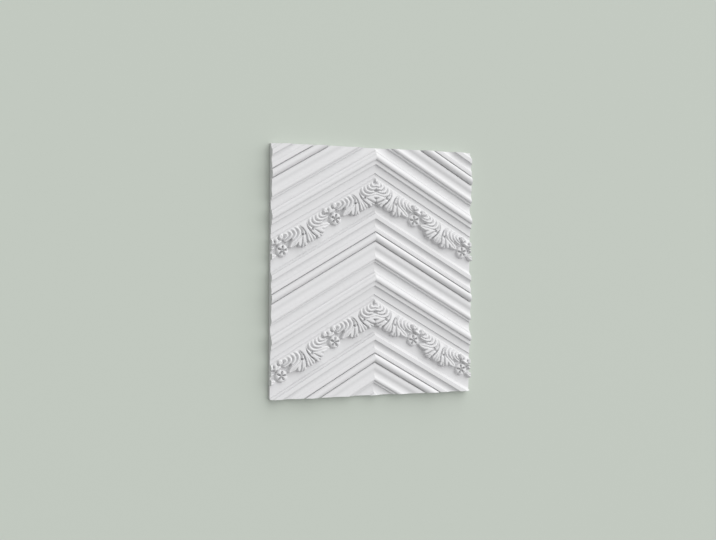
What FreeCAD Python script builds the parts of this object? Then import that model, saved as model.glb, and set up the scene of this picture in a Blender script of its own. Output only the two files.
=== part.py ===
import FreeCAD, Part
import Sketcher
import os

# A moulded wall panel tile: chevron mouldings that meet on a mitre at the middle,
# with an acanthus garland along each flat frieze.
# The panel lies on its back. x runs across it, y runs up it, z is out of its back.
# Each run of mouldings is built level, along x, then turned down to the chevron's angle.

doc = FreeCAD.newDocument("wall_panel_tile")
sheet = doc.addObject("Spreadsheet::Sheet", "sizes")

# Driving dimensions in mm and degrees.
SIZES = {
    "panel_width": 455.0,
    "panel_height": 520.0,
    "chevron_angle": 30.0,
    # from the panel's middle down the mitre to the lower edge of a frieze
    "frieze_drop": 126.5,
    # widths across the mouldings, from the frieze upwards
    "frieze_width": 68.4,
    "fascia_width": 16.0,
    "fillet_width": 9.1,
    "bead_width": 9.1,
    "bead_fall_width": 2.6,
    "ledge_width": 3.9,
    "cavetto_width": 5.6,
    "sunk_band_width": 13.0,
    "riser_width": 4.8,
    "lip_width": 7.4,
    "scotia_width": 12.6,
    "ovolo_width": 12.5,
    "quirk_width": 1.7,
    "torus_width": 15.0,
    "shoulder_width": 8.4,
    "cove_width": 14.8,
    "plateau_width": 9.9,
    "tread_width": 4.3,
    # heights above the back
    "field_height": 9.0,
    "fascia_height": 11.6,
    "fillet_height": 16.5,
    "bead_height": 20.0,
    "ledge_height": 16.2,
    "riser_height": 13.5,
    "lip_height": 17.0,
    "ovolo_height": 15.6,
    "quirk_height": 13.4,
    "torus_foot_height": 16.5,
    "shoulder_height": 17.0,
    "plateau_height": 18.5,
    "tread_height": 13.6,
    # how far each curved member bulges or dips from its chord
    "fascia_dip": 0.6,
    "bead_rise": 1.6,
    "cavetto_dip": 1.4,
    "lip_rise": 1.5,
    "scotia_dip": 1.7,
    "ovolo_rise": 1.35,
    "torus_rise": 5.3,
    "shoulder_rise": 0.4,
    "cove_dip": 4.0,
    # the garland: along the run from the mitre, and across it from the garland's top edge
    "garland_margin": 6.2,
    "garland_repeat": 133.0,
    "husk_place": 56.0,
    "flower_place": 32.0,
    "petal_notch_radius": 9.0,
    "petal_bulge": 5.0,
    "petal_root_height": 20.0,
    "petal_tip_height": 24.0,
    "boss_radius": 3.6,
    "boss_height": 25.0,
    "bud_offset": 11.5,
    "bud_place": 6.5,
    "bud_radius": 5.4,
    "bud_height": 20.5,
    "ridge_span": 9.0,
}
PETALS = 5
ROOF_SIDES = 6
BUD_SIDES = 8

# The leaf's outline: corners along the run from the husk's axis and across it from the
# garland's top edge. Where there is a third value, the edge to the next corner bulges out of
# the leaf by it, or into the leaf if it's below zero.
LEAF_OUTLINE = {
    "shoulder": (15.5, 0.0, -2.0),
    "waist": (4.8, 19.0, 1.5),
    "first_tip": (16.5, 49.5),
    "first_notch": (20.0, 45.5),
    "second_tip": (24.0, 49.0),
    "second_notch": (27.0, 44.0),
    "third_tip": (31.0, 45.0),
    "third_notch": (33.5, 38.0, 2.0),
    "broad_tip": (54.0, 31.0, 2.5),
    "throat": (37.0, 21.0),
    "curl": (53.0, 12.0),
    "third_ruffle_tip": (48.5, 2.0),
    "third_dent": (42.0, 4.5),
    "second_ruffle_tip": (38.5, 0.0),
    "second_dent": (32.5, 4.5),
    "first_ruffle_tip": (28.5, 0.0),
    "first_dent": (21.5, 4.5),
}
# Ridges of the leaf's lobes, and of the pieces beside it: root and tip, the height of the
# crest at each, and the half width of a piece beside the leaf.
LEAF_RIDGES = {
    "shoulder_rib": (8.0, 23.0, 16.0, 0.0, 21.5, 18.5),
    "first_finger": (7.5, 21.0, 16.0, 50.0, 22.0, 18.5),
    "second_finger": (13.0, 25.0, 23.5, 49.5, 22.0, 18.5),
    "third_finger": (17.0, 25.0, 30.5, 45.5, 21.5, 18.0),
    "broad_lobe": (20.0, 25.0, 54.0, 31.5, 22.0, 19.5),
    "third_ruffle": (33.0, 21.0, 50.5, 4.5, 20.5, 18.5),
    "second_ruffle": (24.0, 22.0, 38.5, 0.5, 21.5, 18.5),
    "first_ruffle": (15.0, 23.0, 29.0, 0.5, 21.5, 18.5),
}
LOBES = {
    "husk": (0.0, 6.0, 0.0, 50.0, 15.0, 22.0, 9.6),
    "bract": (54.0, 14.0, 79.0, 14.0, 18.5, 18.5, 5.4),
}
CORNER_SIZES = ("along", "across", "bulge")
RIDGE_SIZES = ("root_along", "root_across", "tip_along", "tip_across", "root_height", "tip_height")
for table, parts in (
    (LEAF_OUTLINE, CORNER_SIZES),
    (LEAF_RIDGES, RIDGE_SIZES),
    (LOBES, (*RIDGE_SIZES, "half_width")),
):
    for item, values in table.items():
        for part, value in zip(parts, values):
            SIZES[f"{item}_{part}"] = value

for row, (name, value) in enumerate(SIZES.items(), start=1):
    sheet.set(f"A{row}", name)
    sheet.set(f"B{row}", str(value))
    sheet.setAlias(f"B{row}", name)
doc.recompute()

# The section from the frieze upwards: width, height at each end, and bulge or dip.
SECTION = (
    ("frieze_width", "field_height", "field_height", None),
    ("fascia_width", "fascia_height", "fascia_height", "-fascia_dip"),
    ("fillet_width", "fillet_height", "fillet_height", None),
    ("bead_width", "bead_height", "bead_height", "bead_rise"),
    ("bead_fall_width", "bead_height", "fillet_height", None),
    ("ledge_width", "fillet_height", "ledge_height", None),
    ("cavetto_width", "ledge_height", "field_height", "-cavetto_dip"),
    ("sunk_band_width", "field_height", "field_height", None),
    ("riser_width", "riser_height", "riser_height", None),
    ("lip_width", "lip_height", "lip_height", "lip_rise"),
    ("scotia_width", "lip_height", "ovolo_height", "-scotia_dip"),
    ("ovolo_width", "ovolo_height", "ovolo_height", "ovolo_rise"),
    ("quirk_width", "quirk_height", "quirk_height", None),
    ("torus_width", "torus_foot_height", "torus_foot_height", "torus_rise"),
    ("quirk_width", "quirk_height", "quirk_height", None),
    ("shoulder_width", "shoulder_height", "shoulder_height", "shoulder_rise"),
    ("cove_width", "shoulder_height", "shoulder_height", "-cove_dip"),
    ("plateau_width", "plateau_height", "plateau_height", None),
    ("tread_width", "tread_height", "tread_height", None),
)

# Expressions that several features share.
TILT = "(sizes.chevron_angle * 1 deg)"
PITCH = "(" + " + ".join(f"sizes.{member[0]}" for member in SECTION) + ")"
HALF_RISE = f"(sizes.panel_height / 2 * cos({TILT}))"
HALF_REACH = f"(sizes.panel_width / 2 * sin({TILT}))"
DROP = f"(sizes.frieze_drop * cos({TILT}))"
ROWS_BELOW = f"ceil(({HALF_RISE} - {DROP}) / {PITCH})"
ROWS_ABOVE = f"ceil(({HALF_RISE} + {HALF_REACH} + {DROP}) / {PITCH})"
GARLANDS_BELOW = f"floor(({HALF_RISE} - {DROP} + sizes.frieze_width) / {PITCH})"
GARLAND_LIFT = "(sizes.frieze_width - sizes.garland_margin - sizes.husk_tip_across)"
GARLANDS_ABOVE = f"ceil(({HALF_RISE} + {HALF_REACH} + {DROP} - {GARLAND_LIFT}) / {PITCH})"
# where the garland's top edge is on the run, and where the first husk's axis is along it
TOP = (
    f"(-{DROP} - {GARLANDS_BELOW} * {PITCH}"
    " + sizes.frieze_width - sizes.garland_margin)"
)
HUSK_AXIS = f"(sizes.husk_place - {TOP} * tan({TILT}))"
ROOT_LEVEL = "sizes.field_height / 2"
ORIGIN_POINT = (-1, 1)


def size(name):
    return float(sheet.get(name))


def plane(body, role):
    return next(f for f in body.Origin.OriginFeatures if f.Role == role)


def bulged(start, end, bulge):
    # an arc from start to end that leaves its chord by bulge, to the left if positive
    chord = end - start
    side = FreeCAD.Vector(-chord.y, chord.x, 0).normalize()
    return Part.Arc(start, (start + end) * 0.5 + side * bulge, end)


def arc_radius(chord_squared, bulge):
    return f"(({chord_squared}) / (8 * {bulge}) + {bulge} / 2)"


def made(kind, name, **expressions):
    item = doc.addObject(f"Part::{kind}", name)
    for key, by in expressions.items():
        item.setExpression(key, by)
    return item


def joined(kind, name, shapes):
    item = doc.addObject(f"Part::{kind}", name)
    item.Shapes = shapes
    return item


class Outline:
    # one closed chain of lines and arcs in a body's sketch, each size held by the sheet

    def __init__(self, body, name, role, offset):
        self.sketch = body.newObject("Sketcher::SketchObject", name)
        self.sketch.AttachmentSupport = [(plane(body, role), "")]
        self.sketch.MapMode = "FlatFace"
        self.sketch.setExpression("AttachmentOffset", offset)
        self.chain = []
        self.rules = []

    def number(self, by):
        value = self.sketch.evalExpression(by)
        return float(getattr(value, "Value", value))

    def hold(self, kind, *where, by=None):
        self.rules.append((kind, where, by))

    def edge(self, curve, start):
        # adds an edge that begins at start, joined to the edge before it
        edge = self.sketch.addGeometry(curve, False)
        first = self.sketch.getPoint(edge, 1)
        ends = (1, 2) if first.isEqual(start, 1e-6) else (2, 1)
        if self.chain:
            self.hold("Coincident", *self.end(), edge, ends[0])
        self.chain.append((edge, *ends))
        return edge

    def start(self, index=-1):
        edge, first, last = self.chain[index]
        return edge, first

    def end(self, index=-1):
        edge, first, last = self.chain[index]
        return edge, last

    def finish(self):
        self.hold("Coincident", *self.end(), *self.start(0))
        for kind, where, by in self.rules:
            values = (*where, self.number(by)) if by else where
            rule = self.sketch.addConstraint(Sketcher.Constraint(kind, *values))
            if by:
                self.sketch.setExpression(f"Constraints[{rule}]", by)
        doc.recompute()
        return self.sketch


def section(body):
    # one repeat of the mouldings, drawn across the run, with the back as its base
    foot = f"(-{DROP} - {ROWS_BELOW} * {PITCH})"
    place = f"placement(vector({foot}; 0; 0); rotation(0; 0; 0))"
    outline = Outline(body, "moulding_section", "YZ_Plane", place)
    here = FreeCAD.Vector(0, 0, 0)
    level = None

    def upright(to, height):
        nonlocal here
        there = FreeCAD.Vector(here.x, to, 0)
        edge = outline.edge(Part.LineSegment(here, there), here)
        outline.hold("Vertical", edge)
        if level is None:
            outline.hold("Coincident", *outline.start(), *ORIGIN_POINT)
        if height:
            outline.hold("DistanceY", *ORIGIN_POINT, *outline.end(), by=f"sizes.{height}")
        here = there

    for width, rises_from, ends_at, bulge in SECTION:
        if rises_from != level:
            upright(size(rises_from), rises_from)
        run = f"sizes.{width}"
        there = FreeCAD.Vector(here.x + size(width), size(ends_at), 0)
        if bulge is None:
            edge = outline.edge(Part.LineSegment(here, there), here)
        else:
            amount = bulge.lstrip("-")
            sign = -1 if bulge.startswith("-") else 1
            edge = outline.edge(bulged(here, there, sign * size(amount)), here)
            chord = f"({run})^2 + (sizes.{ends_at} - sizes.{rises_from})^2"
            outline.hold("Radius", edge, by=arc_radius(chord, f"sizes.{amount}"))
        outline.hold("DistanceX", *outline.start(), *outline.end(), by=run)
        if bulge is None and ends_at == rises_from:
            outline.hold("Horizontal", edge)
        else:
            outline.hold("DistanceY", *ORIGIN_POINT, *outline.end(), by=f"sizes.{ends_at}")
        here = there
        level = ends_at
    upright(0.0, None)
    back = outline.edge(Part.LineSegment(here, FreeCAD.Vector(0, 0, 0)), here)
    outline.hold("Horizontal", back)
    return outline.finish()


def mouldings():
    body = doc.addObject("PartDesign::Body", "mouldings")
    run = body.newObject("PartDesign::Pad", "moulding_run")
    run.Profile = section(body)
    run.Midplane = True
    reach = f"(sizes.panel_width * cos({TILT}) + sizes.panel_height * sin({TILT}))"
    run.setExpression("Length", f"2 * {reach}")
    doc.recompute()
    rows = body.newObject("PartDesign::LinearPattern", "moulding_rows")
    rows.Originals = [run]
    rows.Direction = (plane(body, "Y_Axis"), [""])
    rows.Mode = "Spacing"
    rows.setExpression("Offset", PITCH)
    rows.setExpression("Occurrences", f"{ROWS_BELOW} + {ROWS_ABOVE}")
    body.Tip = rows
    return body


def on_run(along, across, height, turn="rotation(0; 0; 0)"):
    return f"placement(vector({HUSK_AXIS} + {along}; {TOP} - ({across}); {height}); {turn})"


def roof(name, root, tip, root_height, tip_height):
    # a ridge from root to tip with a slope on each side, and walls under it
    span = "sizes.ridge_span"
    run = f"(({tip[0]}) - ({root[0]}))"
    fall = f"(({tip[1]}) - ({root[1]}))"
    chord = f"sqrt({run}^2 + {fall}^2)"
    lean = f"atan2({root_height} - {tip_height}; {chord})"
    turn = f"rotation(atan2(-{fall}; {run}); 90 deg + {lean}; 0)"
    length = f"{chord} / cos({lean}) + {span}"
    axis = f"{root_height} - {span} * cos({lean})"
    place = on_run(root[0], root[1], axis, turn)
    slopes = made("Prism", f"{name}_slopes", Circumradius=span, Height=length, Placement=place)
    slopes.Polygon = ROOF_SIDES
    along = f"{root[0]} - {fall} / {chord} * {span}"
    across = f"{root[1]} + {run} / {chord} * {span}"
    place = on_run(along, across, axis, turn)
    walls = made("Box", f"{name}_walls", Width=f"2 * {span}", Height=length, Placement=place)
    walls.setExpression("Length", root_height)
    return joined("MultiFuse", f"{name}_roof", [slopes, walls])


def ridge(name):
    sizes = [f"sizes.{name}_{part}" for part in RIDGE_SIZES]
    return roof(name, sizes[0:2], sizes[2:4], *sizes[4:])


def lobe(name):
    # a ridged lobe by itself: two upright cylinders leave a lens, and the roof covers it
    half_width = f"sizes.{name}_half_width"
    run = f"(sizes.{name}_tip_along - sizes.{name}_root_along)"
    fall = f"(sizes.{name}_tip_across - sizes.{name}_root_across)"
    bow = arc_radius(f"{run}^2 + {fall}^2", half_width)
    pieces = [ridge(name)]
    for side in ("", "-"):
        shift = f"{side}({bow} - {half_width}) / sqrt({run}^2 + {fall}^2)"
        along = f"sizes.{name}_root_along + {run} / 2 + ({shift}) * {fall}"
        across = f"sizes.{name}_root_across + {fall} / 2 - ({shift}) * {run}"
        place = on_run(along, across, ROOT_LEVEL)
        tall = "sizes.boss_height"
        pieces.append(made("Cylinder", f"{name}_side", Radius=bow, Height=tall, Placement=place))
    return joined("MultiCommon", name, pieces)


def plate(name, corners):
    # an upright piece with a lobed outline: each corner has its place along and across, and
    # the bulge of the edge that follows it unless that edge is straight
    body = doc.addObject("PartDesign::Body", f"{name}_plate")
    place = on_run("0", "0", ROOT_LEVEL, "rotation(0; 0; 180)")
    outline = Outline(body, f"{name}_outline", "XY_Plane", place)
    points = [FreeCAD.Vector(outline.number(c[0]), outline.number(c[1]), 0) for c in corners]
    turns = sum(a.x * b.y - a.y * b.x for a, b in zip(points, points[1:] + points[:1]))
    for index, (along, across, *bulge) in enumerate(corners):
        next_along, next_across, *rest = corners[(index + 1) % len(corners)]
        ends = points[index], points[(index + 1) % len(corners)]
        if bulge:
            out = outline.number(bulge[0])
            edge = outline.edge(bulged(*ends, -out if turns > 0 else out), ends[0])
            chord = f"(({next_along}) - ({along}))^2 + (({next_across}) - ({across}))^2"
            outline.hold("Radius", edge, by=arc_radius(chord, f"abs({bulge[0]})"))
        else:
            outline.edge(Part.LineSegment(*ends), ends[0])
        outline.hold("DistanceX", *ORIGIN_POINT, *outline.start(), by=along)
        outline.hold("DistanceY", *ORIGIN_POINT, *outline.start(), by=across)
    pad = body.newObject("PartDesign::Pad", f"{name}_pad")
    pad.Profile = outline.finish()
    pad.Reversed = True
    pad.setExpression("Length", "sizes.boss_height")
    body.Tip = pad
    return body


def leaf():
    corners = [
        [f"sizes.{name}_{part}" for part, value in zip(CORNER_SIZES, values)]
        for name, values in LEAF_OUTLINE.items()
    ]
    ridges = joined("MultiFuse", "leaf_ridges", [ridge(name) for name in LEAF_RIDGES])
    blade = joined("MultiCommon", "leaf_blade", [plate("leaf", corners), ridges])
    # the bud beside the flower is cut with flat sides
    along = "sizes.garland_repeat / 2 - sizes.bud_offset"
    place = on_run(along, "sizes.bud_place", ROOT_LEVEL)
    tall = f"sizes.bud_height - {ROOT_LEVEL}"
    bud = made("Prism", "bud", Circumradius="sizes.bud_radius", Height=tall, Placement=place)
    bud.Polygon = BUD_SIDES
    return joined("MultiFuse", "leaf", [blade, bud])


def flower():
    along = "sizes.garland_repeat / 2"
    across = "sizes.flower_place"
    tip_radius = "(sizes.petal_notch_radius + sizes.petal_bulge)"
    corners = []
    ridges = []
    for number in range(PETALS):
        tip = f"(90 deg + {number} * 360 deg / {PETALS})"
        notch = f"({tip} - 180 deg / {PETALS})"
        x = f"{along} + sizes.petal_notch_radius * cos{notch}"
        y = f"{across} - sizes.petal_notch_radius * sin{notch}"
        corners.append([x, y, "sizes.petal_bulge"])
        end = f"{along} + {tip_radius} * cos{tip}", f"{across} - {tip_radius} * sin{tip}"
        heights = "sizes.petal_root_height", "sizes.petal_tip_height"
        ridges.append(roof(f"petal_{number + 1}", (along, across), end, *heights))
    slopes = joined("MultiFuse", "flower_ridges", ridges)
    petals = joined("MultiCommon", "flower_petals", [plate("flower", corners), slopes])
    place = on_run(along, across, ROOT_LEVEL)
    tall = f"sizes.boss_height - {ROOT_LEVEL}"
    boss = made("Cylinder", "boss", Radius="sizes.boss_radius", Height=tall, Placement=place)
    return [petals, boss]


def garland():
    one_leaf = leaf()
    other = doc.addObject("Part::Mirroring", "facing_leaf")
    other.Source = one_leaf
    other.Normal = FreeCAD.Vector(1, 0, 0)
    other.setExpression("Base.x", HUSK_AXIS)
    pieces = [one_leaf, other, lobe("husk"), lobe("bract"), *flower()]
    unit = joined("MultiFuse", "garland_repeat_unit", pieces)
    doc.recompute()
    body = doc.addObject("PartDesign::Body", "garlands")
    body.AllowCompound = True
    body.BaseFeature = unit
    doc.recompute()
    along = body.newObject("PartDesign::LinearPattern", "garland_run")
    along.TransformMode = "Whole shape"
    along.Direction = (plane(body, "X_Axis"), [""])
    along.Mode = "Spacing"
    along.setExpression("Offset", "sizes.garland_repeat")
    repeats = f"ceil(sizes.panel_width / 2 / cos({TILT}) / sizes.garland_repeat) + 1"
    along.setExpression("Occurrences", repeats)
    body.Tip = along
    doc.recompute()
    guide = body.newObject("Sketcher::SketchObject", "mitre_direction")
    guide.AttachmentSupport = [(plane(body, "XY_Plane"), "")]
    guide.MapMode = "FlatFace"
    turn = "placement(vector(0; 0; 0); rotation(sizes.chevron_angle; 0; 0))"
    guide.setExpression("AttachmentOffset", turn)
    doc.recompute()
    rows = body.newObject("PartDesign::LinearPattern", "garland_rows")
    rows.TransformMode = "Whole shape"
    rows.Direction = (guide, ["V_Axis"])
    rows.Mode = "Spacing"
    rows.setExpression("Offset", f"{PITCH} / cos({TILT})")
    rows.setExpression("Occurrences", f"{GARLANDS_BELOW} + {GARLANDS_ABOVE}")
    body.Tip = rows
    doc.recompute()
    return body


relief = doc.addObject("Part::Fuse", "relief")
relief.Base = mouldings()
relief.Tool = garland()
# the right half of the panel is cut out square to the mitre and turned upright
blank = made("Box", "half_blank", Length="sizes.panel_width / 2", Width="sizes.panel_height")
blank.setExpression("Height", "2 * sizes.boss_height")
corner = f"vector(sizes.panel_height / 2 * sin({TILT}); -{HALF_RISE}; 0)"
blank.setExpression("Placement", f"placement({corner}; rotation(sizes.chevron_angle; 0; 0))")
right_half = doc.addObject("Part::Common", "right_half")
right_half.Base = relief
right_half.Tool = blank
upright = "placement(vector(0; 0; 0); rotation(-sizes.chevron_angle; 0; 0))"
right_half.setExpression("Placement", upright)
left_half = doc.addObject("Part::Mirroring", "left_half")
left_half.Source = right_half
left_half.Normal = FreeCAD.Vector(1, 0, 0)
panel = doc.addObject("Part::Fuse", "wall_panel_tile")
panel.Base = right_half
panel.Tool = left_half
panel.Refine = True
panel.Label = "wall_panel_tile"
doc.recompute()

for item in doc.Objects:
    if "Invalid" in item.State or "Error" in item.State:
        raise RuntimeError(f"{item.Name} didn't build: {item.State}")
    if hasattr(item, "Shape") and not item.isDerivedFrom("Sketcher::SketchObject"):
        if item.isDerivedFrom("App::OriginFeature"):
            continue
        if item.Shape.isNull() or not item.Shape.isValid():
            raise RuntimeError(f"{item.Name} has no valid shape")
if len(panel.Shape.Solids) != 1:
    raise RuntimeError("the panel isn't one solid")
os.makedirs("parts", exist_ok=True)
panel.Shape.exportStep("parts/wall_panel_tile.step")
print("wall_panel_tile:", round(panel.Shape.Volume), "cubic mm,", len(panel.Shape.Faces), "faces")
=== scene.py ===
# %% [markdown]
# A moulded wall panel tile: chevron mouldings that meet on a mitre, with an acanthus garland
# along each flat frieze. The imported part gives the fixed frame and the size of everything, so
# it is loaded first. Lengths are in millimetres, unless a comment says metres, and the finished
# skin is scaled to metres at the end.

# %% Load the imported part
import math

import bpy
import numpy as np
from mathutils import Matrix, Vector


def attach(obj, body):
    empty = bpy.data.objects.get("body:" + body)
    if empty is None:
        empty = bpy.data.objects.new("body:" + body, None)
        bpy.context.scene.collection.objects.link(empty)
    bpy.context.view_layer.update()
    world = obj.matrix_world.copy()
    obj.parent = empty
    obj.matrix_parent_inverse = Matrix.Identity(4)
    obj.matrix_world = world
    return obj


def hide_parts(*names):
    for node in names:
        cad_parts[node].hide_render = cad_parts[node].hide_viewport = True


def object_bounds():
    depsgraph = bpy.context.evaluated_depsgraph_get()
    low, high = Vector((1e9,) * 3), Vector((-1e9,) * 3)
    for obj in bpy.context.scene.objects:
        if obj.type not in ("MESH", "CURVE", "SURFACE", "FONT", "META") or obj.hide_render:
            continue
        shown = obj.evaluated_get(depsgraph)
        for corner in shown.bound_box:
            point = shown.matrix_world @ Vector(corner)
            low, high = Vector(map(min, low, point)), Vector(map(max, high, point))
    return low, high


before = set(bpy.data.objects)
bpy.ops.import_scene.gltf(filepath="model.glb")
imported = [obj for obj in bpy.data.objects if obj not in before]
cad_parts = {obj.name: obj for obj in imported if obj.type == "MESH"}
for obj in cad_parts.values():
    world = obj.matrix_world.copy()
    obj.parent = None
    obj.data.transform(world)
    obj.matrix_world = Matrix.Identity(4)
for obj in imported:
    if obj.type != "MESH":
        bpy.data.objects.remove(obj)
cad_low, cad_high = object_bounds()
MM = 0.001
half_width = cad_high.x / MM
half_height = cad_high.y / MM
print("half of the panel:", round(half_width, 1), "mm wide,", round(half_height, 1), "mm high")

# %% [markdown]
# The mouldings all run at one angle, so a single section drawn across the run describes the
# whole face. Each member has a width across the run, a height at each end, and a rise where it
# is round or a dip where it is hollow. A modeller could sweep this section along a path, but a
# list of rows keeps the arrises exact and lets the garland be knitted into the same skin. A few
# members are a little hollower or steeper here than in the solid, as their shadows show.

# %% The section across the run
CHEVRON_ANGLE = math.radians(30)
FRIEZE_DROP = 126.5          # from the panel's middle down the mitre to a frieze's lower edge
FIELD_HEIGHT = 9.0
# width, height where the member starts, height where it ends, rise or dip between them
SECTION = {
    "frieze": (68.4, FIELD_HEIGHT, FIELD_HEIGHT, 0.0),
    "fascia": (16.0, 11.6, 13.2, -0.9),
    "fillet": (9.1, 16.5, 16.5, 0.0),
    "bead": (9.1, 20.0, 20.0, 1.6),
    "bead fall": (2.6, 20.0, 16.5, 0.0),
    "ledge": (3.9, 16.5, 16.2, 0.0),
    "cavetto": (5.6, 16.2, 10.0, -1.4),
    "sunk band": (13.0, 10.0, 10.0, -1.2),
    "riser": (4.8, 13.5, 13.5, 0.0),
    "lip": (7.4, 17.0, 17.0, 1.5),
    "scotia": (12.6, 17.0, 15.6, -1.7),
    "ovolo": (12.5, 15.6, 15.6, 1.35),
    "lower quirk": (1.7, 11.6, 11.6, 0.0),
    "torus": (15.0, 16.5, 16.5, 5.3),
    "upper quirk": (1.7, 11.6, 11.6, 0.0),
    "shoulder": (8.4, 17.0, 17.0, 0.4),
    "cove": (14.8, 17.0, 17.0, -4.0),
    "plateau": (9.9, 18.5, 18.5, 0.0),
    "tread": (4.3, 14.8, 12.2, 0.0),
}
PITCH = sum(member[0] for member in SECTION.values())
print(len(SECTION), "members,", round(PITCH, 1), "mm from one frieze to the next")

# %% [markdown]
# A round member is an arc that leaves its chord by the rise. Twelve steps are enough for the
# widest one to look round when its faces are shaded smooth.

# %% Points of one repeat
ARC_STEPS = 12
SAME = 1e-6                  # two places nearer than this are one


def member_points(start, end, rise):
    """Points from start to end, along an arc if the member rises or dips."""
    if rise == 0.0:
        return [start, end]
    chord = end - start
    length = np.hypot(*chord)
    radius = length**2 / (8 * abs(rise)) + abs(rise) / 2
    side = np.array([-chord[1], chord[0]]) / length * math.copysign(1.0, rise)
    centre = (start + end) / 2 + side * (abs(rise) - radius)
    first = math.atan2(*(start - centre)[::-1])
    sweep = math.atan2(*(end - centre)[::-1]) - first
    sweep = (sweep + math.pi) % (2 * math.pi) - math.pi
    turns = first + sweep * np.linspace(0, 1, ARC_STEPS + 1)
    return [centre + radius * np.array([math.cos(a), math.sin(a)]) for a in turns]


repeat = []
reached = 0.0
for width, starts_at, ends_at, rise in SECTION.values():
    start = np.array([reached, starts_at])
    reached += width
    end = np.array([reached, ends_at])
    for place in member_points(start, end, rise):
        if not repeat or np.hypot(*(place - repeat[-1])) > SAME:
            repeat.append(place)
print(len(repeat), "points in one repeat")

# %% [markdown]
# Foam that is cast in a mould and then primed has no knife edges. Each corner of the section
# is eased by over a millimetre: two points and a softened middle take the corner's place.

# %% Repeat the section over the panel and ease its corners
REPEATS = range(-1, 3)       # from one below the panel's own to two above it
EASE = 1.4
LONGEST_EASE = 0.4           # share of a side that the easing may take
CORNER_ANGLE = math.radians(20)

foot = -FRIEZE_DROP * math.cos(CHEVRON_ANGLE)
line = [p + (foot + PITCH * k, 0) for k in REPEATS for p in repeat]


def eased(places):
    """The same line with each sharp corner cut into three softer ones."""
    out = [places[0]]
    for before, here, after in zip(places, places[1:], places[2:]):
        back, ahead = before - here, after - here
        turn = math.atan2(back[0] * -ahead[1] + back[1] * ahead[0], -(back @ ahead))
        if abs(turn) < CORNER_ANGLE:
            out.append(here)
            continue
        cut_back = here + back * min(EASE / np.hypot(*back), LONGEST_EASE)
        cut_ahead = here + ahead * min(EASE / np.hypot(*ahead), LONGEST_EASE)
        # halfway from the cut's middle to the old corner
        middle = (cut_back + cut_ahead) / 4 + here / 2
        out += [cut_back, middle, cut_ahead]
    return out + [places[-1]]


rows_across = np.array(eased(line))
print(len(rows_across), "rows before trimming")

# %% [markdown]
# On the right half, a row is the line y = v - x tan 30: v is where it meets the mitre. The rows
# are trimmed to the panel's rectangle. Four extra rows, through its corners, keep every
# strip between two rows a plain four-sided face.

# %% Rows of the right half
SLOPE = math.tan(CHEVRON_ANGLE)
lowest = -half_height
highest = half_height + SLOPE * half_width
corner_rows = (lowest, lowest + SLOPE * half_width, half_height, highest)

row_v = rows_across[:, 0] / math.cos(CHEVRON_ANGLE)
row_z = rows_across[:, 1]
corner_z = np.interp(corner_rows, row_v, row_z)
keep = (row_v > lowest + SAME) & (row_v < highest - SAME)
rows = list(zip(row_v[keep], row_z[keep]))
for v, z in zip(corner_rows, corner_z):
    order = next((i for i, row in enumerate(rows) if row[0] > v), len(rows))
    rows.insert(order, (v, z))
print(len(rows), "rows on the panel")

# %% [markdown]
# The garland is made as a carver makes one. The leaf and the husk are pricked through from a
# paper pattern, so each starts as an outline. The stock is then bosted in: a ramp says how high
# the form stands at each distance from the top. Veins and folds are cut last. A sculptor would
# push clay about with brushes, but outlines and cuts can be read and changed. The pattern is
# symmetric about the husk and about the flower, so only the piece between the two is described:
# along from the husk's axis, and across from the garland's top.

# %% Outlines and ramps of the garland
REPEAT_LENGTH = 133.0
HUSK_PLACE = 56.0            # along the run from the mitre to the first husk's axis
GARLAND_MARGIN = 6.2         # between the garland's top and the frieze's upper edge
GARLAND_DEPTH = 54.0         # the carved part of the frieze, below the garland's top

LEAF_OUTLINE = (
    # the straight top, and the curl beside the bud
    (15.4, 1.4), (20, 1.4), (26, 1.4), (32, 1.4), (38, 1.4), (44, 1.4), (50, 1.6), (54, 2.6),
    (56.4, 6), (57, 10), (56, 14), (54.8, 19), (52.4, 22.8),
    # the gap above the broad lobe, and the lobe
    (47, 23.4), (42, 22.8), (37.6, 22.4), (41, 25.6), (46, 29), (49.8, 32), (51, 34.4),
    (48.8, 36.6), (44, 37.6), (38, 38), (33.8, 38.8),
    # three fingers and the notches between them
    (32.4, 42.4), (30.2, 45), (27.6, 44.6), (26, 47.4), (23.6, 48.6), (21, 46.8),
    (18.8, 49), (16, 49.6), (13.4, 48), (12, 44.6),
    # up beside the husk
    (10.6, 39), (7.2, 31), (5.5, 22), (6.2, 14), (9.4, 7),
)
HUSK_HALF = (
    (14.6, 1.4), (8.6, 7), (5.4, 14), (4.7, 22), (6.2, 31), (8.6, 37), (9.8, 42), (8.4, 45.6),
    (4.4, 47.6),
)
HUSK_OUTLINE = HUSK_HALF + ((0, 48),) + tuple((-t, b) for t, b in HUSK_HALF[::-1])
# across, height above the field
LEAF_RAMP = (
    (1.4, 2.2), (6, 6.4), (12, 9.0), (18, 10.8), (24, 11.6), (32, 12.0), (40, 12.0), (49, 10.4),
)
HUSK_RAMP = (
    (1.4, 2.2), (6, 5), (12, 7.6), (20, 9.8), (27, 11.2), (34, 12.4), (41, 12.6), (48, 11),
)
print(len(LEAF_OUTLINE), "places on the leaf's outline,", len(HUSK_OUTLINE), "on the husk's")

# %% [markdown]
# The smaller members are strokes of a round gouge that widen, rise and taper: a few places
# with a half width and a height, joined by a smooth curve. Grooves are strokes too, with a
# depth in place of the height.

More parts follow.
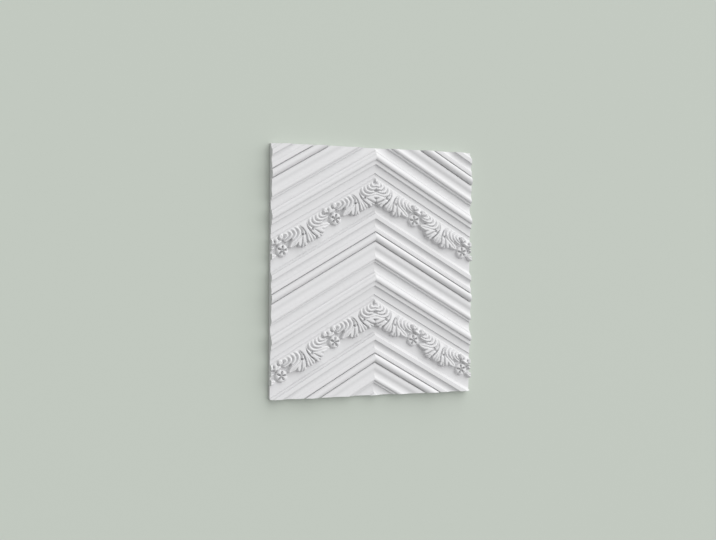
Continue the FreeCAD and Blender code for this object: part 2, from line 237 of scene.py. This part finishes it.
# %% Strokes: along, across, half width, height or depth
BRACT = (
    ((57.6, 11.8, 2.4, 10), (61, 13.8, 3, 11.4), (66.5, 14.8, 3.2, 12)),
    ((66.5, 7.4, 5, 6), (66.5, 10, 5.4, 8.5)),
)
GROOVES = (
    # the husk's three lobes
    ((2.2, 28, 1.2, 0.84), (2.8, 36, 1.4, 1.96), (3.4, 46, 1.7, 3.64)),
    # from the eye down between the fingers
    ((18.4, 42, 1.4, 1.12), (21, 47, 1.8, 4.2)),
    ((15, 28, 1.5, 1.96), (18.4, 33.6, 1.7, 4.48), (21.6, 38.6, 1.9, 5.88), (26.6, 45, 2, 7)),
    ((29.6, 35, 1.6, 1.68), (34, 39, 2.4, 8.4)),
    # the vein of the broad lobe
    ((27, 28.4, 1.3, 0.84), (36, 31.6, 1.5, 1.68), (45, 34, 1.3, 1.12)),
)
print(len(BRACT), "strokes for the bract,", len(GROOVES), "grooves")

# %% [markdown]
# A pattern is pricked at a few places and drawn through them with a bent lath. The curve here
# does the same: it passes through every place, and its direction at one comes from the two
# beside it.

# %% Smooth outlines
CURVE_STEPS = 7


def smooth_curve(places, closed=False):
    """More places on a smooth curve through the given ones."""
    p = np.array(places, float)
    if closed:
        p = np.vstack([p[-1], p, p[:2]])
    else:
        p = np.vstack([2 * p[0] - p[1], p, 2 * p[-1] - p[-2]])
    out = []
    for a, b, c, d in zip(p, p[1:], p[2:], p[3:]):
        for s in np.arange(CURVE_STEPS) / CURVE_STEPS:
            out.append(b + s / 2 * (c - a + s * (2 * a - 5 * b + 4 * c - d
                       + s * (3 * (b - c) + d - a))))
    return np.array(out + [p[-2]])


leaf_curve = smooth_curve(LEAF_OUTLINE, closed=True)
husk_curve = smooth_curve(HUSK_OUTLINE, closed=True)
print(len(leaf_curve), "points round the leaf,", len(husk_curve), "round the husk")

# %% [markdown]
# Every form is measured on the same points of a grid. Two small functions give most of the
# shapes: one falls from a middle to an edge, and one goes from nothing to all between two
# places. A cut-out form is rounded over at its edge, and a stroke is as high as a rounded bar.

# %% Tools of the carver
EDGE_ROUND = 1.5
NO_LENGTH = 1e-9             # keeps a line of no length from dividing by nothing


def mound(gap, half_width, power):
    """1 in the middle and 0 from the half width on: a higher power is flatter on top."""
    return np.clip(1 - (gap / half_width) ** power, 0, 1)


def fading(value, nothing, full):
    """0 up to one value, 1 from another on, and straight between them."""
    return np.clip((value - nothing) / (full - nothing), 0, 1)


def distance(p, q, t, b):
    """Distance of the points from the line p to q, and the share of it passed."""
    run = q[:2] - p[:2]
    share = ((t - p[0]) * run[0] + (b - p[1]) * run[1]) / max(run @ run, NO_LENGTH)
    share = np.clip(share, 0, 1)
    return np.hypot(t - p[0] - share * run[0], b - p[1] - share * run[1]), share


def cut_out(curve, ramp, t, b):
    """Height of a form with an outline, rounded over at its edge."""
    inside = np.zeros(t.shape, bool)
    gap = np.full(t.shape, np.inf)
    for p, q in zip(curve, curve[1:]):
        gap = np.minimum(gap, distance(p, q, t, b)[0])
        if p[1] != q[1]:
            crosses = (p[1] > b) != (q[1] > b)
            inside ^= crosses & (t < p[0] + (b - p[1]) * (q[0] - p[0]) / (q[1] - p[1]))
    depth = np.clip(gap / EDGE_ROUND, 0, 1)
    return np.where(inside, np.interp(b, *zip(*ramp)) * np.sqrt(1 - (1 - depth) ** 2), 0)


def stroke_height(places, t, b, fullness):
    """Height of one rounded stroke: the lower its fullness, the squarer its sides."""
    height = np.zeros_like(t)
    curve = smooth_curve(places)
    for p, q in zip(curve, curve[1:]):
        gap, share = distance(p, q, t, b)
        width = p[2] + share * (q[2] - p[2])
        crest = p[3] + share * (q[3] - p[3])
        height = np.maximum(height, crest * mound(gap, width, 2) ** fullness)
    return height


print("a corner is rounded over", EDGE_ROUND, "mm")

# %% [markdown]
# Forms are joined with a soft maximum, which leaves a small fillet in each crease, as primer
# does. A cut never takes more than a share of what it is made in, so the foam stays closed.

# %% Joining and cutting
FILLET = 1.2
TIGHT_FILLET = 0.4           # about the flower and the buds, which stand free


def joined(a, b, fillet=FILLET):
    """The higher of two surfaces, with a fillet where they meet."""
    near = np.clip(fillet - np.abs(a - b), 0, None) ** 2 / (4 * fillet)
    return np.maximum(a, b) + near * np.clip(np.minimum(a, b) / fillet, 0, 1)


def cut(surface, depth, share):
    """A surface after a cut that takes at most this share of its height."""
    return surface - np.minimum(depth, share * surface)


print("fillets of", FILLET, "and", TIGHT_FILLET, "mm")

# %% [markdown]
# The flower has five petals parted by deep slots that widen outwards, with a small boss in the
# middle. It could be five separate petals, but one flat-topped dome with slots is how a carver
# lays it out, and it leaves no hidden faces.

# %% Flower
FLOWER_AXIS = REPEAT_LENGTH / 2
FLOWER_ACROSS = 32.5
PETALS = 5
PETAL_REACH = 13.6
PETAL_HEIGHT = 8.8
PETAL_FLATNESS = 7
PETAL_NOTCH = 0.14           # share of the reach that the rim draws in between two petals
SLOT_HALF_WIDTH = 0.8        # at the flower's middle
SLOT_SPREAD = 0.18           # wider by this for each millimetre outwards
SLOT_END = (10.0, 8.5)       # radius where a slot ends, and where it is at full depth
SLOT_SHARE = 0.95
BOSS_RADIUS = 1.7
BOSS_HEIGHT = 8.0


def flower_height(t, b):
    x, y = t - FLOWER_AXIS, FLOWER_ACROSS - b
    r = np.hypot(x, y)
    turn = np.arctan2(x, y) * PETALS / (2 * math.pi)
    from_axis = np.abs(turn - np.round(turn)) * 2          # 0 on a petal's axis, 1 in a slot
    reach = PETAL_REACH * (1 - PETAL_NOTCH * from_axis**3)
    dome = PETAL_HEIGHT * mound(r, reach, PETAL_FLATNESS) ** 0.5
    slot_gap = (1 - from_axis) * r * math.pi / PETALS
    slot = mound(slot_gap, SLOT_HALF_WIDTH + SLOT_SPREAD * r, 4) * fading(r, *SLOT_END)
    boss = BOSS_HEIGHT * mound(r, BOSS_RADIUS, 2) ** 0.4
    return np.maximum(dome * (1 - SLOT_SHARE * slot), boss)


print("flower of", PETALS, "petals,", 2 * PETAL_REACH, "mm across")

# %% [markdown]
# Above the flower sit two round buds, one on each side. Each has a shallow dimple and a moat
# about its lower side, whose shadow sets it off from the leaf behind.

# %% Bud
BUD_PLACE = (55.0, 7.0)
BUD_RADIUS = 6.0
BUD_HEIGHT = 9.6
DIMPLE_RADIUS = 2.2
DIMPLE_DEPTH = 1.0
MOAT_RADIUS = 7.0
MOAT_HALF_WIDTH = 1.5
MOAT_DEPTH = 7.0
MOAT_ACROSS = (6.0, 10.0)    # where the moat starts, and where it is at full depth


def bud_height(t, b):
    """Height of a bud, and depth of the moat about it."""
    r = np.hypot(t - BUD_PLACE[0], b - BUD_PLACE[1])
    dome = BUD_HEIGHT * mound(r, BUD_RADIUS, 4) ** 0.5
    moat = mound(r - MOAT_RADIUS, MOAT_HALF_WIDTH, 2) * fading(b, *MOAT_ACROSS)
    return dome - DIMPLE_DEPTH * mound(r, DIMPLE_RADIUS, 2), MOAT_DEPTH * moat


print("buds", 2 * BUD_RADIUS, "mm across")

# %% [markdown]
# The leaf's upper half is ruffled: its folds are rings about one place beside the bud, with
# round crests and sharp valleys, and they run out towards the leaf's top and its fingers.

# %% Folds
FOLD_CENTRE = (55.0, 8.0)
FOLD_DRIFT = 0.13            # the rings' middle sinks by this share towards the husk
FOLD_STRETCH = 2.0           # rings are this much longer along than across
FOLD_WIDTH = 9.0
FOLD_DEPTH = 6.6
FOLD_SHARPNESS = 1.5         # the higher, the narrower the valleys
# where the folds start and where they are at full depth: from the top, the fingers and the bud
FOLD_FROM_TOP = (-1.0, 5.0)
FOLD_FROM_FINGERS = (31.0, 23.0)
FOLD_FROM_BUD = (6.0, 9.0)


def fold_depth(t, b):
    back = FOLD_CENTRE[0] - t
    ring = np.hypot(back, FOLD_STRETCH * (b - FOLD_CENTRE[1] - FOLD_DRIFT * back))
    valley = (1 - np.abs(np.sin(math.pi * ring / FOLD_WIDTH))) ** FOLD_SHARPNESS
    fade = fading(b, *FOLD_FROM_FINGERS) * fading(b, *FOLD_FROM_TOP)
    return FOLD_DEPTH * valley * fade * fading(ring, *FOLD_FROM_BUD)


print("folds", FOLD_WIDTH, "mm apart")

# %% [markdown]
# Now the forms are put together in the order of the carving: the band behind, the leaf with its
# folds, the husk, the bract, then the grooves, the buds and the flower. Last come three drilled
# eyes at the places where the fingers part.

# %% The whole garland
BAND_HEIGHT = 4.5
BAND_TOP = (0.3, 2.9)        # the chamfer of the band's upper edge
BAND_FOOT = (20.0, 8.0)      # where the band ends, and where it is at full height
LEAF_SINK = 0.24             # share of its height that the leaf loses towards the bud
LEAF_SINK_ALONG = (34.0, 54.0)
BAR_FULLNESS = 0.25
GROOVE_FULLNESS = 1.5
FOLD_SHARE, GROOVE_SHARE, MOAT_SHARE = 0.8, 0.85, 0.9
DRILLED = ((12.4, 25.6, 2.3), (11.2, 43.4, 2.3), (34, 39.4, 2.3))   # along, across, radius
EYE_FLOOR = 1.0              # height of the bottom of a drilled eye
EYE_FLARE = 9.0              # how far its wall rises to the rim


def garland_height(along, across):
    """Height of the garland above the field."""
    t = (along - HUSK_PLACE) % REPEAT_LENGTH
    t = np.minimum(t, REPEAT_LENGTH - t)
    band = BAND_HEIGHT * fading(across, *BAND_TOP) * fading(across, *BAND_FOOT)
    leaf = cut_out(leaf_curve, LEAF_RAMP, t, across)
    leaf = leaf * (1 - LEAF_SINK * fading(t, *LEAF_SINK_ALONG))
    total = joined(band, cut(leaf, fold_depth(t, across), FOLD_SHARE))
    total = joined(total, cut_out(husk_curve, HUSK_RAMP, t, across))
    for places in BRACT:
        total = joined(total, stroke_height(places, t, across, BAR_FULLNESS))
    for places in GROOVES:
        total = cut(total, stroke_height(places, t, across, GROOVE_FULLNESS), GROOVE_SHARE)
    bud, moat = bud_height(t, across)
    total = joined(cut(total, moat, MOAT_SHARE), bud, TIGHT_FILLET)
    total = joined(total, flower_height(t, across), TIGHT_FILLET)
    for place_along, place_across, radius in DRILLED:
        r = np.hypot(t - place_along, across - place_across) / radius
        total = np.where(r < 1, np.minimum(total, EYE_FLOOR + EYE_FLARE * r**4), total)
    return total


trial = garland_height(*np.meshgrid(np.arange(REPEAT_LENGTH), np.arange(GARLAND_DEPTH)))
print("garland up to", round(trial.max(), 1), "mm above the field")

# %% [markdown]
# The skin is a list of points and a list of faces. A point that is asked for twice is given
# the same number, so neighbouring faces share their corners and the skin has no seams.

# %% Points and faces
DECIMALS = 4                 # of a millimetre

points, faces, smooth_faces = [], [], []
index_of = {}


def point(x, v, z):
    """The number of a point on the skin, the same one each time it is asked for."""
    spot = (round(x, DECIMALS), round(v - SLOPE * x, DECIMALS), round(z, DECIMALS))
    if spot not in index_of:
        index_of[spot] = len(points)
        points.append(spot)
    return index_of[spot]


def add_face(corners, smooth):
    """A face, without the corners that fall on each other."""
    ring = [c for i, c in enumerate(corners) if c != corners[i - 1]]
    if len(ring) > 2:
        faces.append(ring)
        smooth_faces.append(smooth)


print("points are kept to", DECIMALS, "decimals of a millimetre")

# %% [markdown]
# A plain row of the mouldings needs only its two ends. A row of the carved grid has a point at
# every column, at the height that the garland has there.

# %% Two kinds of row
GRID_ACROSS = 0.95           # between rows of the carved grid, along the mitre
GRID_ALONG = 0.8             # between columns, across the panel

columns = np.linspace(0, half_width, round(half_width / GRID_ALONG) + 1)


def row_points(v, z):
    """A plain row: where it enters and where it leaves the right half of the panel."""
    first = max(0.0, (v - half_height) / SLOPE)
    last = min(half_width, (v + half_height) / SLOPE)
    return [point(first, v, z), point(last, v, z)]


def grid_points(v, top):
    """A row of the carved grid, whose along and across are measured from the garland's top."""
    y = v - SLOPE * columns
    run = columns * math.cos(CHEVRON_ANGLE) - y * math.sin(CHEVRON_ANGLE)
    along = run + top * math.sin(CHEVRON_ANGLE)
    down = (top - v) * math.cos(CHEVRON_ANGLE)
    z = FIELD_HEIGHT + garland_height(along, np.full_like(along, down))
    return [point(x, v, h) for x, h in zip(columns, z)]


print(len(columns), "columns in the carved grid")

# %% [markdown]
# The skin of the right half is knitted row by row. A moulding strip is one long flat face. In
# the garland's part of a frieze the strip becomes a grid of small faces, and its two borders
# lie on the flat field, where one many-sided face takes up all the points of the border.

# %% Knit the right half
def is_field(row, following):
    """Whether two rows are the edges of a whole frieze."""
    long_strip = following[0] - row[0] > GARLAND_DEPTH
    return long_strip and row[1] == following[1] == FIELD_HEIGHT and following[0] < half_height


def knit(upper, smooth):
    """Faces from the last row up to this one: one face, or one for each pair of columns."""
    lower = levels[-1]
    if len(lower) == len(upper) > 2:
        for i in range(len(lower) - 1):
            add_face([lower[i], lower[i + 1], upper[i + 1], upper[i]], smooth)
    else:
        add_face(lower + upper[::-1], smooth)
    levels.append(upper)


levels = [row_points(*rows[0])]
for row, following in zip(rows, rows[1:]):
    if is_field(row, following):
        top = following[0] - GARLAND_MARGIN / math.cos(CHEVRON_ANGLE)
        first = top - GARLAND_DEPTH / math.cos(CHEVRON_ANGLE)
        last = top + GARLAND_MARGIN / 2
        for v in np.linspace(first, last, round((last - first) / GRID_ACROSS) + 1):
            knit(grid_points(v, top), smooth=True)
    slopes = bool(abs(following[1] - row[1]) > SAME)
    knit(row_points(*following), smooth=slopes)
print(len(points), "points and", len(faces), "faces in the right half of the skin")

# %% [markdown]
# The edges are cut square and the back is flat, because tiles are glued edge to edge. Walls
# follow the ends of the rows down to the back's corners.

# %% Walls and back
ON_WALL = 1e-3               # a point this near to a wall is on it


def floor_corner(x, y):
    return point(x, y + SLOPE * x, 0.0)


def along_wall(end, axis, value):
    """The points on a wall, in order: end 0 of each row is at the mitre, -1 is away from it."""
    ends = dict.fromkeys(level[end] for level in levels)
    return [p for p in ends if abs(points[p][axis] - value) < ON_WALL]


bottom_ends = along_wall(-1, 1, -half_height)
right_ends = along_wall(-1, 0, half_width)
top_ends = along_wall(0, 1, half_height)
low_mid, low_right = floor_corner(0, -half_height), floor_corner(half_width, -half_height)
high_mid, high_right = floor_corner(0, half_height), floor_corner(half_width, half_height)
add_face([low_mid, low_right] + bottom_ends[::-1], False)
add_face([low_right, high_right] + right_ends[::-1], False)
add_face([high_right, high_mid] + top_ends, False)
add_face([low_mid, high_mid, high_right, low_right], False)
print(len(bottom_ends), "points along the bottom wall,", len(right_ends), "along the right one,",
      len(top_ends), "along the top one")

# %% [markdown]
# The left half is the mirror image, so a Mirror modifier makes it and welds the mitre. The
# mitre's edges are marked sharp, or the shading would melt the two runs into each other.

# %% The panel
WELD = 1e-6                  # metres

mesh = bpy.data.meshes.new("wall_panel_tile_skin")
mesh.from_pydata(np.array(points) * MM, [], faces)
mesh.polygons.foreach_set("use_smooth", smooth_faces)
for edge in mesh.edges:
    edge.use_edge_sharp = all(abs(points[v][0]) < SAME for v in edge.vertices)
mesh.validate()
panel = bpy.data.objects.new("wall_panel_tile_skin", mesh)
bpy.context.collection.objects.link(panel)
mirror = panel.modifiers.new("left half", "MIRROR")
mirror.use_axis = (True, False, False)
mirror.merge_threshold = WELD
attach(panel, "root")
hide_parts("wall_panel_tile")
print(2 * sum(len(f) - 2 for f in faces), "triangles")

# %% [markdown]
# Materials are small graphs of nodes. Colours are written as on a screen, in sRGB, and Blender
# computes with linear light, so one function turns the first into the second. One more adds a
# node, sets it and links it, which keeps a whole material readable in a few lines.

# %% Colours and nodes
def linear(code):
    """An sRGB hex colour as linear red, green, blue and alpha."""
    parts = [int(code[i:i + 2], 16) / 255 for i in (1, 3, 5)]
    return [c / 12.92 if c <= 0.04045 else ((c + 0.055) / 1.055) ** 2.4 for c in parts] + [1.0]


def node(tree, kind, settings=(), links=()):
    """Adds a node, sets its inputs or properties by name and links (input, node, output)."""
    made = tree.nodes.new(kind)
    for name, value in dict(settings).items():
        if name in made.inputs:
            made.inputs[name].default_value = value
        else:
            setattr(made, name, value)
    for socket, source, output in links:
        tree.links.new(source.outputs[output], made.inputs[socket])
    return made


def new_material(name):
    material = bpy.data.materials.new(name)
    material.use_nodes = True
    material.node_tree.nodes.clear()
    return material, material.node_tree


print("white is", linear("#FFFFFF"))

# %% [markdown]
# The tile is rigid polyurethane foam, cast in a mould and sprayed with a white primer for the
# buyer to paint over. The primer is matte, with no colour of its own, so all that the eye gets
# is the light on the form and a very soft sheen. Under a hand lens the spray leaves a fine
# orange peel of about a third of a millimetre; it is drawn three times as coarse to show at all.

# %% Matte primer on moulded foam
PRIMER = "#D8D8D9"
PEEL_SIZE = 1.0
PEEL_DEPTH = 0.2

primer, tree = new_material("matte white primer on moulded foam")
place = node(tree, "ShaderNodeTexCoord")
peel = node(tree, "ShaderNodeTexNoise", {"Scale": 1 / (PEEL_SIZE * MM), "Detail": 2.0},
            [("Vector", place, "Object")])
bump = node(tree, "ShaderNodeBump", {"Strength": 0.04, "Distance": PEEL_DEPTH * MM},
            [("Height", peel, "Fac")])
# acrylic binder has an index near 1.48, and a flat primer is a little smoother than chalk
coat = node(tree, "ShaderNodeBsdfPrincipled",
            {"Base Color": linear(PRIMER), "Roughness": 0.62, "IOR": 1.48},
            [("Normal", bump, "Normal")])
node(tree, "ShaderNodeOutputMaterial", links=[("Surface", coat, "BSDF")])
mesh.materials.append(primer)
print(primer.name)

# %% [markdown]
# The floor is a plain pale sheet, a little greener and darker than the panel so that the white
# edges stand out and the shadow shows.

# %% Floor
FLOOR = "#BCC3BA"
FLOOR_REACH = 6.0            # metres, from the middle to an edge
FLOOR_GAP = 0.5              # below the back, so that the two never flicker

floor_mesh = bpy.data.meshes.new("studio floor")
floor_corners = [(FLOOR_REACH * x, FLOOR_REACH * y, 0)
                 for x, y in ((-1, -1), (1, -1), (1, 1), (-1, 1))]
floor_mesh.from_pydata(floor_corners, [], [(0, 1, 2, 3)])
floor = bpy.data.objects.new("studio floor", floor_mesh)
bpy.context.collection.objects.link(floor)
floor.location.z = -FLOOR_GAP * MM
sheet, tree = new_material("matt painted board")
board = node(tree, "ShaderNodeBsdfPrincipled",
             {"Base Color": linear(FLOOR), "Roughness": 0.8})
node(tree, "ShaderNodeOutputMaterial", links=[("Surface", board, "BSDF")])
floor_mesh.materials.append(sheet)
print(floor.name)

# %% [markdown]
# Relief is read by its shadows. A key light as wide as a big softbox comes from beyond the
# panel's upper right corner, at a low angle and nearly along the left run. So the slopes of the
# right run that face away from it go dark, while on the left run mostly the creases do. A pale
# sky fills the rest.

# %% Light
KEY_FROM = (0.60, 0.58, 0.60)   # direction towards the lamp
KEY_STRENGTH = 3.3
KEY_SPREAD = math.radians(100)
SKY = "#FFFFFF"
SKY_STRENGTH = 0.42

key_data = bpy.data.lights.new("key", "SUN")
key_data.energy = KEY_STRENGTH
key_data.angle = KEY_SPREAD
key = bpy.data.objects.new("key", key_data)
bpy.context.collection.objects.link(key)
key.location = KEY_FROM
key.rotation_euler = key.location.to_track_quat("Z", "Y").to_euler()

world = bpy.data.worlds.new("studio")
world.use_nodes = True
world.node_tree.nodes["Background"].inputs["Color"].default_value = linear(SKY)
world.node_tree.nodes["Background"].inputs["Strength"].default_value = SKY_STRENGTH
bpy.context.scene.world = world
bpy.context.scene.view_settings.view_transform = "Standard"
print("key light from", KEY_FROM)

# %% [markdown]
# The camera stands to the left of the panel's middle and looks down on it. Its place and angles
# were fitted to the panel's four corners, and its lens to how fast the panel narrows.

# %% Camera
CAMERA_PLACE = (-0.8371, 0.0240, 1.9778)   # metres
YAW, PITCH_DOWN, ROLL = (math.radians(a) for a in (22.14, 0.55, -0.38))
FOCAL_PIXELS = 1014.0
IMAGE_WIDTH = 716            # pixels
SENSOR = 36.0

camera_data = bpy.data.cameras.new("camera")
camera_data.sensor_width = SENSOR
camera_data.lens = FOCAL_PIXELS / IMAGE_WIDTH * SENSOR
camera = bpy.data.objects.new("camera", camera_data)
bpy.context.collection.objects.link(camera)
camera.location = CAMERA_PLACE
camera.rotation_mode = "ZXY"
camera.rotation_euler = (-PITCH_DOWN, -YAW, -ROLL)
bpy.context.scene.camera = camera
print("lens", round(camera_data.lens, 1), "mm")
